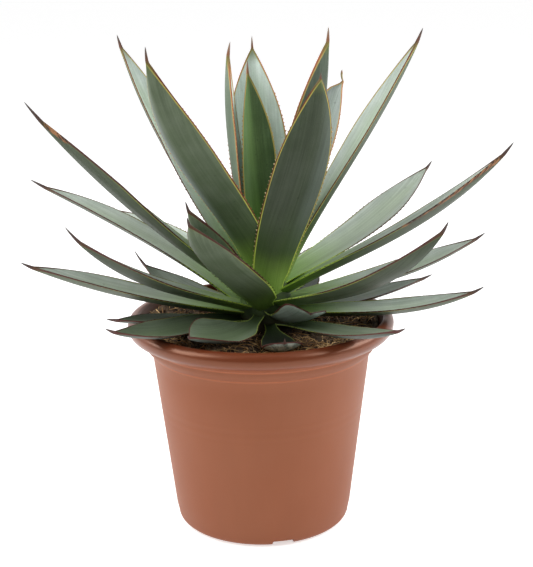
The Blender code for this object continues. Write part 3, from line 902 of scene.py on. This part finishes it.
def leafPath(leaf):
    # the midrib, from the crown to the spine's tip, with the distance run along it
    up = math.radians(leaf["rootUp"])
    middle = np.array([*stemLook["at"], stemLook["middle"]])
    root = middle + radial(leaf["rootTurn"]) * stemLook["radius"] * math.cos(up)
    root[2] += stemLook["dome"] * math.sin(up)
    tip = np.array([*stemLook["at"], leaf["height"]]) + radial(leaf["turn"]) * leaf["reach"]
    span = np.linalg.norm(tip - root)
    first = root + heading(leaf["rootTurn"], leaf["rise"]) * span * leafLook["startPull"]
    second = tip - heading(leaf["turn"], leaf["tipRise"]) * span * leafLook["endPull"]
    t = np.linspace(0.0, 1.0, leafLook["pathPoints"])[:, None]
    path = (1 - t) ** 3 * root + 3 * (1 - t) ** 2 * t * first + 3 * (1 - t) * t ** 2 * second + t ** 3 * tip
    back = heading(leaf["rootTurn"], leaf["rise"]) * leafLook["sunk"]
    path = np.vstack([root - back, path])
    run = np.concatenate([[0.0], np.cumsum(np.linalg.norm(np.diff(path, axis=0), axis=1))])
    return path, run - leafLook["sunk"], tip - root


def halfWidths(shares, leaf):
    look, widest = leafLook, leaf["widestAt"]
    full = leaf["width"] / 2
    rising = np.sin(math.pi / 2 * np.clip(shares / widest, 0, 1))
    body = full * (leaf["base"] + (1 - leaf["base"]) * rising)
    blend = smoothly(shares / leaf["neck"])
    lower = leaf["rootWidth"] / 2 * (1 - blend) + body * blend
    falling = np.cos(math.pi / 2 * np.clip((shares - widest) / (1 - widest), 0, 1))
    upper = full * np.maximum(falling, 0.0) ** leaf["taper"]
    return np.maximum(np.where(shares < widest, lower, upper), look["spineWidth"] / 2)


def leafTeeth(blade, leaf, draw):
    # for each side: the place, height and width of every tooth
    look, pattern = toothLooks[skinLooks[leaf["skin"]]["teeth"]], toothPattern
    smallest, more = pattern["endSize"]
    sides = []
    for side in range(2):
        teeth = []
        place = blade * look["from"] + draw.uniform(0, look["spacing"])
        while place < blade * look["to"]:
            share = place / blade / look["to"]
            height = draw.uniform(*look["height"]) * (smallest + more * math.sin(math.pi * share) ** 0.5)
            teeth.append((place, height, look["base"] * draw.uniform(*pattern["baseVaries"])))
            place += look["spacing"] * draw.uniform(*pattern["gapVaries"])
        sides.append(teeth)
    return sides


def leafStations(blade, spine, teeth):
    look = leafLook
    places = list(np.arange(-look["sunk"], blade - look["nearTip"], look["step"])) + [0.0, blade]
    places += list(np.linspace(blade - look["nearTip"], blade, look["nearTipStations"]))
    for side in teeth:
        for place, _, base in side:
            places += [place - base / 2, place, place + base / 2]
    places += [blade + spine * share for share in look["spineStations"]]
    return np.unique(np.round(np.array(places) / look["grain"])) * look["grain"]


def leafMesh(name, leaf, draw):
    look = leafLook
    path, run, chord = leafPath(leaf)
    length = run[-1] - leaf["short"]
    blade = length - leaf["spine"]
    teeth = leafTeeth(blade, leaf, draw)
    places = leafStations(blade, leaf["spine"], teeth)
    places = places[places < length - look["endGap"]]

    def midrib(distance):
        return np.stack([np.interp(distance, run, path[:, axis]) for axis in range(3)], 1)

    before = np.maximum(places - look["aimSpan"], run[0])
    after = np.minimum(places + look["aimSpan"], length)
    ahead = unitRows(midrib(after) - midrib(before))
    settled = np.clip(places / length / look["settledAt"], 0, 1)[:, None]
    level = sideways(radial(leaf["rootTurn"])) * (1 - settled) + sideways(chord) * settled
    across = unitRows(level - ahead * np.sum(level * ahead, axis=1)[:, None])
    up = np.cross(across, ahead)
    roll = math.radians(leaf["roll"]) * settled
    across, up = across * np.cos(roll) + up * np.sin(roll), up * np.cos(roll) - across * np.sin(roll)

    shares = np.clip(places / blade, 0, 1)
    half = halfWidths(shares, leaf)
    middle = np.zeros(len(places))
    if leaf["torn"]:
        # only a thread is left of the blade on its right side, from here to the tip
        tornFrom, tornTo = leaf["torn"]
        gone = np.clip((tornFrom - length + places) / (tornFrom - tornTo), 0, 1)
        kept = half * (1 - gone) + np.minimum(half, look["thread"]) * gone
        middle = (half - kept) * np.clip((length - places) / tornTo, 0, 1)
        half = kept
    thick = look["rootThickness"] + (look["tipThickness"] - look["rootThickness"]) * shares
    edge = np.minimum(look["margin"], thick * look["marginShare"])
    rise = leaf["cup"] * half * (look["cupAtRoot"] + look["cupGrowth"] * shares)
    spineShare = np.clip((places - blade) / leaf["spine"], 0, 1)
    shrink = (1 - spineShare) ** look["spineTaper"]
    tooth = np.zeros((2, len(places)))
    for side in range(2):
        for place, height, _ in teeth[side]:
            tooth[side][np.argmin(np.abs(places - place))] = height

    def rounded(x, k):
        return (math.sqrt(x * x + k * k) - k) / (math.sqrt(1 + k * k) - k)

    points, details = [], []          # details: side of the leaf, how far in from the margin, across

    def addLine(out, lift, side, inward, push=0.0):
        out, lift = out * shrink, lift * shrink
        spot = midrib(places) + across * (out + middle)[:, None] + up * lift[:, None]
        points.append(spot + ahead * (np.zeros(len(places)) + push)[:, None])
        details.append((np.full(len(places), side), inward, out))

    for x in np.sin(np.linspace(-math.pi / 2, math.pi / 2, look["upperPoints"])):
        lift = (rise + edge / 2) * rounded(x, look["channelRound"])
        addLine(half * x, lift, 1.0, half * (1 - abs(x)))
    leans = tooth * toothPattern["lean"]
    outside = tooth + look["marginBulge"]
    addLine(half + outside[1], rise, 0.0, -outside[1], leans[1])
    for x in np.sin(np.linspace(math.pi / 2, -math.pi / 2, look["lowerPoints"])):
        lift = (rise - edge / 2 + thick) * rounded(x, look["keelRound"]) - thick
        addLine(half * x, lift, -1.0, half * (1 - abs(x)))
    addLine(-half - outside[0], rise, 0.0, -outside[0], leans[0])

    lines, rings = len(points), len(places)
    grid = np.stack(points, 1).reshape(-1, 3)
    vertices = np.vstack([grid, midrib(np.array([length]))]) * mm
    faces = []
    for ring in range(rings - 1):
        for line in range(lines):
            after = (line + 1) % lines
            a, b = ring * lines + line, ring * lines + after
            faces.append((a, a + lines, b + lines, b))
    last = (rings - 1) * lines
    for line in range(lines):
        faces.append((last + line, len(vertices) - 1, last + (line + 1) % lines))
    faces.append(tuple(range(lines)))
    obj = makeObject(name, vertices, faces)

    side, inward, out = [np.append(np.stack([d[i] for d in details], 1).ravel(), 0.0) for i in range(3)]
    along = np.append(np.repeat(places, lines), length)
    addVector(obj, "leafPlace", np.stack([out, along, side], 1))
    addVector(obj, "leafEdge", np.stack([inward, length - along, np.clip(along / blade, 0, 2)], 1))
    return obj


def addVector(obj, name, values):
    made = obj.data.attributes.new(name, "FLOAT_VECTOR", "POINT")
    made.data.foreach_set("vector", values.astype(np.float32).ravel())


# Leaf skin: a waxy bloom over green, streaked along, with a thin horny edge and a paler line inside it

# Colours of each skin. Upper face: with bloom, bare, and along the middle. Lower face: with bloom and bare.
# Base: the upper face, the lower face, and the very root. Line: at the base, and further out, then its
# width in millimetres and up to which share of the blade it shows. Edge: its colour, then its width and
# from which share on it shows. Spine: the point and the foot. Young tip: how green the blade's end is.
# Shaded half: how much darker the right half is.
# partly painted light and shade: every upper face is painted much lighter than its lower face, beyond the
# skins' own difference
skinLooks = {
    "young": {
        "upper": ((0.15, 0.24, 0.1), (0.11, 0.19, 0.065), (0.13, 0.22, 0.065)),
        "lower": ((0.16, 0.2, 0.15), (0.12, 0.17, 0.11)),
        "base": ((0.24, 0.45, 0.09), (0.06, 0.11, 0.02), (0.12, 0.22, 0.04)),
        "line": ((0.55, 0.5, 0.12), (0.5, 0.4, 0.11)),
        "lineSize": (0.6, 1.2),
        "edge": (0.45, 0.25, 0.09),
        "edgeSize": (0.15, 0),
        "teeth": "fine",
        "tooth": (0.5, 0.36, 0.14),
        "spine": ((0.3, 0.2, 0.15), (0.3, 0.13, 0.06)),
        "youngTip": 0.6,
        "shadedHalf": 0.4,
    },
    "heart": {
        "upper": ((0.415, 0.47, 0.445), (0.33, 0.4, 0.355), (0.32, 0.4, 0.34)),
        "lower": ((0.085, 0.105, 0.08), (0.06, 0.082, 0.054)),
        "base": ((0.17, 0.3, 0.09), (0.045, 0.085, 0.016), (0.12, 0.2, 0.04)),
        "line": ((0.6, 0.55, 0.14), (0.52, 0.4, 0.13)),
        "lineSize": (0.55, 1.2),
        "edge": (0.4, 0.135, 0.065),
        "edgeSize": (0.35, 0.05),
        "teeth": "fine",
        "tooth": (0.55, 0.36, 0.16),
        "spine": ((0.3, 0.23, 0.18), (0.27, 0.12, 0.065)),
        "youngTip": 0.7,
        "shadedHalf": 0,
    },
    "inner": {
        "upper": ((0.455, 0.515, 0.48), (0.35, 0.42, 0.36), (0.35, 0.44, 0.32)),
        "lower": ((0.06, 0.077, 0.048), (0.039, 0.056, 0.027)),
        "base": ((0.16, 0.3, 0.06), (0.044, 0.079, 0.014), (0.3, 0.44, 0.1)),
        "line": ((0.55, 0.64, 0.1), (0.42, 0.36, 0.08)),
        "lineSize": (0.5, 1.1),
        "edge": (0.13, 0.03, 0.016),
        "edgeSize": (0.3, 0.12),
        "teeth": "fine",
        "tooth": (0.13, 0.035, 0.016),
        "spine": ((0.09, 0.075, 0.065), (0.12, 0.05, 0.03)),
        "youngTip": 0.4,
        "shadedHalf": 0,
    },
    "grown": {
        "upper": ((0.5, 0.56, 0.5), (0.37, 0.44, 0.37), (0.39, 0.47, 0.35)),
        "lower": ((0.06, 0.077, 0.048), (0.039, 0.054, 0.028)),
        "base": ((0.25, 0.4, 0.12), (0.047, 0.079, 0.015), (0.12, 0.2, 0.035)),
        "line": ((0.46, 0.62, 0.1), (0.28, 0.31, 0.07)),
        "lineSize": (0.4, 0.75),
        "edge": (0.07, 0.02, 0.014),
        "edgeSize": (0.55, 0.26),
        "teeth": "coarse",
        "tooth": (0.036, 0.016, 0.01),
        "spine": ((0.075, 0.062, 0.055), (0.065, 0.032, 0.025)),
        "youngTip": 0.1,
        "shadedHalf": 0,
    },
    "low": {
        "upper": ((0.15, 0.19, 0.13), (0.105, 0.142, 0.084), (0.112, 0.155, 0.082)),
        "lower": ((0.07, 0.086, 0.076), (0.05, 0.064, 0.05)),
        # painted shade: the low leaves' base colours are near black, for the shade they lie in under the
        # leaves above
        "base": ((0.035, 0.06, 0.02), (0.022, 0.035, 0.012), (0.02, 0.032, 0.01)),
        "line": ((0.24, 0.32, 0.07), (0.2, 0.24, 0.06)),
        "lineSize": (0.4, 0.7),
        "edge": (0.08, 0.022, 0.016),
        "edgeSize": (0.4, 0.35),
        "teeth": "coarse",
        "tooth": (0.05, 0.02, 0.012),
        "spine": ((0.085, 0.065, 0.055), (0.09, 0.035, 0.028)),
        "youngTip": 0,
        "shadedHalf": 0,
    },
}

skinPattern = {
    "roughness": (0.46, 0.12, 0.12),  # plain, more where the bloom is thick, less on the spine
    "specular": 0.25,
    "bumpDepth": 0.00025,
    # waves to the millimetre, across and along the blade
    "broadStreaks": (0.42, 0.010),
    "fineStreaks": (1.3, 0.030),
    "broadShare": 0.55,
    # noises: scale, detail and how rough, and which part of them counts
    "cloudNoise": (70.0, 3.0),
    "waxNoise": (24.0, 4.0, 0.6),
    "dotNoise": (900.0, 2.0),
    "flakeNoise": (330.0, 3.0, 0.7),
    "flakesFrom": (0.42, 0.56),
    "markNoise": (210.0, 2.0, 0.4),
    "marksFrom": (0.70, 0.76),
    "bloomOf": (0.55, 0.35, 0.40),       # shares of the clouds, the wax and the streaks in the bloom
    "bloomFrom": (0.42, 0.86),
    "bumpsOf": (0.7, 0.3),               # shares of the streaks and the dots in the bumps
    # what makes a place darker or lighter: the plain share, then how much of each is added or taken
    "plain": 0.34,
    "streaks": 0.80,
    "wax": 0.30,
    "dots": 0.22,
    "marks": 0.22,
    # how far in from the margin, in millimetres
    "middleFrom": (2.0, 13.0),
    "middleShare": 0.8,
    "underEdgeLit": (0.0, 9.0, 1.25, 1.0),  # painted light: the underside is painted lighter at the margin, where it turns to the side lights
    "toothTip": (-0.55, -0.2, 1.0, 0.0),
    # painted light: how far in the lit side's paler colour comes, and that colour
    "paintedLitSideFrom": (2.0, 14.0),
    "paintedLitSide": (0.150, 0.178, 0.170),
    "flakes": (0.52, 0.56, 0.47),
    # shares of the blade from its root
    "baseTo": (0.02, 0.46, 1.0, 0.0),
    "rootTo": (0.02, 0.22, 0.8, 0.0),
    "lineBaseTo": (0.15, 0.5),
    # millimetres from the tip, beyond the spine
    "hornGrows": 30.0,
    "hornGrowth": 1.2,
    "youngFrom": (3.0, 12.0),
    "youngTip": (0.15, 0.19, 0.05),
    "deadStreaks": (1.2, 0.08),
    "deadFrom": (0.45, 0.6),
    "dead": ((0.045, 0.020, 0.012), (0.30, 0.135, 0.055)),
}


def streakNoise(skin, waves, out, along, third):
    across, lengthwise = waves
    return skin.speckle(skin.vector(out * across, along * lengthwise, third), 1.0, 2.0, 0.5)


def skinFinish(name, leaf, seed):
    look, pattern = skinLooks[leaf["skin"]], skinPattern
    spineLength = leaf["spine"]
    plain, waxy, horny = pattern["roughness"]
    skin = Finish(name, plain, pattern["specular"])
    out, along, side = skin.attribute("leafPlace")
    inward, fromTip, share = skin.attribute("leafEdge")
    upper = side.ramp(-0.2, 0.2)
    place = skin.vector(out * mm, along * mm, upper * 0.3 + seed)
    upperBloom, upperBare, upperMiddle = look["upper"]
    lowerBloom, lowerBare = look["lower"]
    upperBase, lowerBase, root = look["base"]
    lineWidth, lineTo = look["lineSize"]
    edgeWidth, edgeFrom = look["edgeSize"]
    broad = streakNoise(skin, pattern["broadStreaks"], out, along, upper * 5.0 + seed)
    fine = streakNoise(skin, pattern["fineStreaks"], out, along, upper * 5.0 - seed)
    streaks = broad * pattern["broadShare"] + fine * (1.0 - pattern["broadShare"])
    cloud = skin.speckle(place, *pattern["cloudNoise"])
    wax = skin.speckle(place, *pattern["waxNoise"])
    dots = skin.speckle(place, *pattern["dotNoise"])
    ofCloud, ofWax, ofStreaks = pattern["bloomOf"]
    bloom = (cloud * ofCloud + wax * ofWax + streaks * ofStreaks).ramp(*pattern["bloomFrom"])
    top = skin.mix(bloom, upperBare, upperBloom)
    top = skin.mix(inward.ramp(*pattern["middleFrom"]) * pattern["middleShare"], top, upperMiddle)
    under = skin.mix(bloom, lowerBare, lowerBloom)
    # painted light and shade: each face's colour is scaled by the leaf's own gain
    paintedLightUpper, paintedLightLower = leaf["paintedLight"]
    top = skin.tint(top, paintedLightUpper)
    # painted light: the underside is lighter towards its margins
    under = skin.tint(under, inward.ramp(*pattern["underEdgeLit"]) * paintedLightLower)
    if leaf["scurfy"]:
        flakes = skin.speckle(place, *pattern["flakeNoise"]).ramp(*pattern["flakesFrom"])
        under = skin.mix(flakes * leaf["scurfy"], under, pattern["flakes"])
    # painted light: one side of the underside is painted paler, as if lit
    if leaf["paintedLitSide"]:
        litSideSign, litSideShare = leaf["paintedLitSide"]
        under = skin.mix((out * litSideSign).ramp(*pattern["paintedLitSideFrom"]) * litSideShare, under, pattern["paintedLitSide"])
    nearBase = share.ramp(*pattern["baseTo"])
    top = skin.mix(nearBase, top, upperBase)
    under = skin.mix(nearBase, under, lowerBase)
    under = skin.mix(share.ramp(*pattern["rootTo"]), under, root)
    # upper and lower faces: their own colours, with painted light on the upper and painted shade on the
    # lower
    colour = skin.mix(upper, under, top)
    shaded = out.ramp(-1.0, 2.5) * look["shadedHalf"]
    marks = skin.speckle(place, *pattern["markNoise"]).ramp(*pattern["marksFrom"]) * pattern["marks"]
    lightness = streaks * pattern["streaks"] + wax * pattern["wax"] + dots * pattern["dots"]
    colour = skin.tint(colour, lightness + pattern["plain"] - shaded - marks)
    wander = skin.speckle(skin.vector(along * 0.02, side, seed), 1.0, 2.0) + 0.5
    nearTip = fromTip.ramp(spineLength, spineLength + pattern["hornGrows"], 1.0, 0.0)
    horn = wander * edgeWidth * (nearTip * pattern["hornGrowth"] + 1.0)
    horn = horn * share.ramp(edgeFrom - 0.05, edgeFrom + 0.20)
    line = (inward - horn - wander * lineWidth).ramp(-0.2, 0.2, 1.0, 0.0)
    line = line * share.ramp(lineTo - 0.2, lineTo, 1.0, 0.15)
    lineColour = skin.mix(share.ramp(*pattern["lineBaseTo"]), *look["line"])
    colour = skin.mix(line, colour, lineColour)
    edge = (inward - horn).ramp(-0.25, 0.15, 1.0, 0.0) * share.ramp(edgeFrom - 0.05, edgeFrom + 0.1)
    colour = skin.mix(edge, colour, look["edge"])
    if leaf["dead"]:
        tipward, rootward, sign, width = leaf["dead"]
        dead = fromTip.band(tipward - 1.0, tipward + 1.0, rootward - 2.0, rootward + 1.0)
        dead = dead * (out * sign).ramp(0.0, 0.5) * (inward - wander * width).ramp(-0.2, 0.2, 1.0, 0.0)
        across, lengthwise = pattern["deadStreaks"]
        drying = skin.speckle(skin.vector(out * across, along * lengthwise, seed), 1.0, 3.0)
        dry = skin.mix(drying.ramp(*pattern["deadFrom"]), *pattern["dead"])
        colour = skin.mix(dead, colour, dry)
    colour = skin.mix(inward.ramp(*pattern["toothTip"]), colour, leaf["tooth"] or look["tooth"])
    youngFrom, youngTo = pattern["youngFrom"]
    belowSpine = fromTip.ramp(spineLength + youngFrom, spineLength + youngTo, 1.0, 0.0)
    colour = skin.mix(belowSpine * look["youngTip"], colour, pattern["youngTip"])
    spine = fromTip.ramp(spineLength * 0.9, spineLength * 1.15 + 0.5, 1.0, 0.0)
    colour = skin.mix(spine, colour, skin.mix(fromTip.ramp(0.0, spineLength), *look["spine"]))
    roughness = bloom * waxy + plain - spine * horny
    ofStreaks, ofDots = pattern["bumpsOf"]
    bumps = streaks * ofStreaks + dots * ofDots
    return skin.finishWith(colour, roughness, bumps, pattern["bumpDepth"])


def makeLeaves():
    for number, (name, row) in enumerate(leafRows.items()):
        skin, slot = leafFamilies[name.split("_")[0]]
        leaf = {**dict(zip(leafFields, row)), **commonTraits, "skin": skin, **leafTraits.get(name, {})}
        obj = leafMesh(f"agave_{name}", leaf, random.Random(100 + number))
        finishMesh(obj, skinFinish(f"skin {name}", leaf, number * 1.7), 50)
        standFor(obj, f"leaf_{name}")


makeCamera()
makeStudio()
print("studio ready")
makePot()
print("pot made")
makeSoilBody()
makeCrumbs()
makeFibres()
print("soil made")
makeStem()
makeLeaves()
print("leaves made:", len(leafRows))
